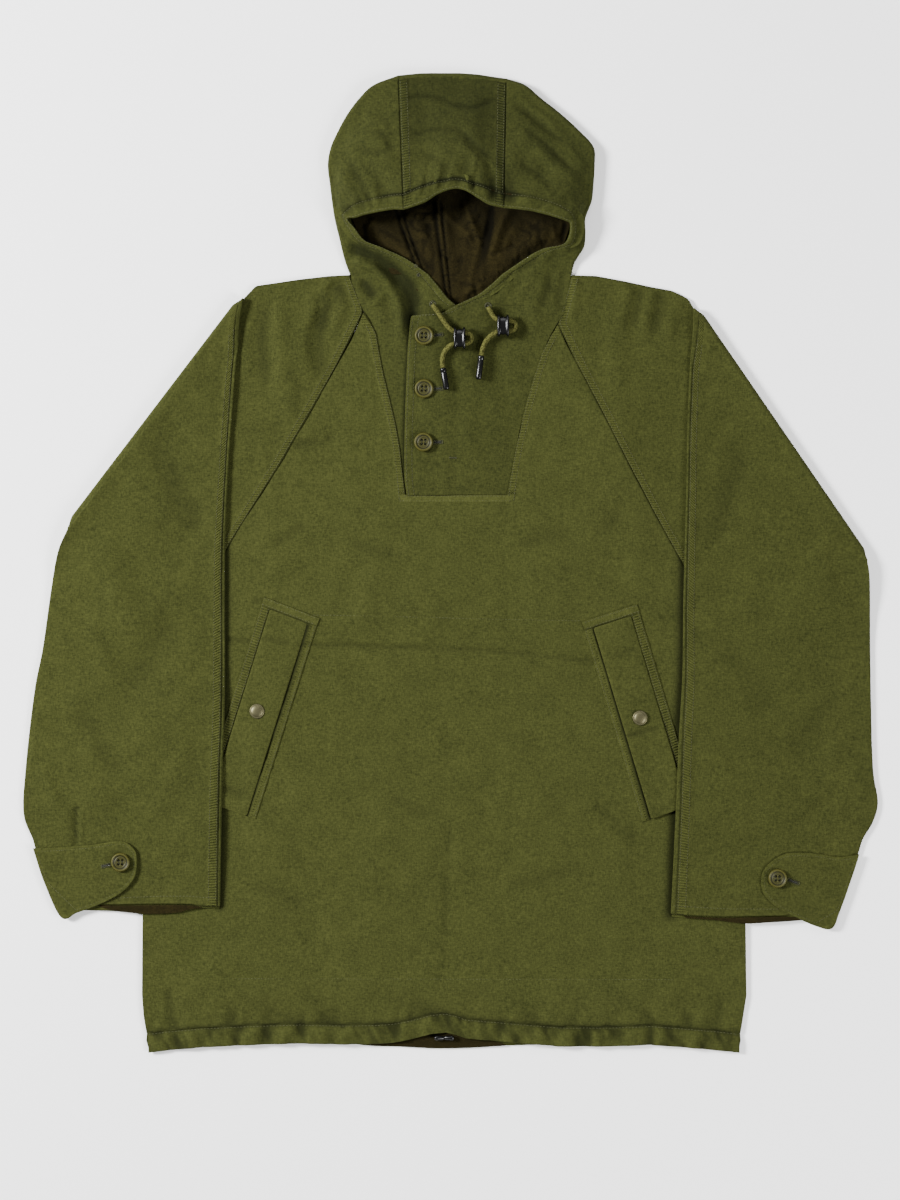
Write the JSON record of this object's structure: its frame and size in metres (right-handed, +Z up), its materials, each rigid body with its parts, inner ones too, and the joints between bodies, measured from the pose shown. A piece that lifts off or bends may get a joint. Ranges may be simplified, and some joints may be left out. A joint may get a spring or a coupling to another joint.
{
  "type": "anorak smock",
  "caption": "Hooded pullover anorak smock laid flat, raglan sleeves folded over the front, buttoned bib, slanted pocket flaps, drawcords at the hood.",
  "frame": {"origin": "on the surface the garment lies on, under the middle of its outline", "axes": "+Z up from the surface, +Y along the garment from hem to hood, +X to the right seen from above"},
  "size_m": [0.8782, 1.0074, 0.0394],
  "materials": {
    "canvas_body": "washed olive cotton canvas, plain weave, matt",
    "canvas_sleeve": "washed olive cotton canvas, a shade darker",
    "canvas_hood": "washed olive cotton canvas, deeper and softly creased",
    "lining": "thin dark brown-olive woven lining with a slight sheen",
    "button": "olive moulded four-hole button with raised rim",
    "snap": "antique brass snap cap, darkened",
    "cord": "braided olive cotton cord",
    "black_plastic": "glossy black plastic"
  },
  "bodies": {
    "root": {"back": "canvas_body", "front": "canvas_body", "hem_casing": "canvas_body", "bib_over": "canvas_body", "pocket_flap_left": "canvas_body", "pocket_flap_right": "canvas_body", "sleeve_left_front": "canvas_sleeve", "sleeve_left_back": "canvas_sleeve", "sleeve_right_front": "canvas_sleeve", "sleeve_right_back": "canvas_sleeve", "cuff_tab_left": "canvas_sleeve", "cuff_tab_right": "canvas_sleeve", "hood_left": "canvas_hood", "hood_centre": "canvas_hood", "hood_right": "canvas_hood", "hood_casing": "canvas_hood", "bib_under": "canvas_hood", "hood_lining": "lining", "cuff_lining_left": "lining", "cuff_lining_right": "lining", "hem_lining": "lining", "placket_button_1": "button", "placket_button_2": "button", "placket_button_3": "button", "cuff_button_left": "button", "cuff_button_right": "button", "snap_left": "snap", "snap_right": "snap", "drawcord_left": "cord", "drawcord_right": "cord", "cord_lock_left": "black_plastic", "cord_lock_right": "black_plastic", "cord_tip_left": "black_plastic", "cord_tip_right": "black_plastic", "hem_toggle": "black_plastic"}
  },
  "joints": []
}
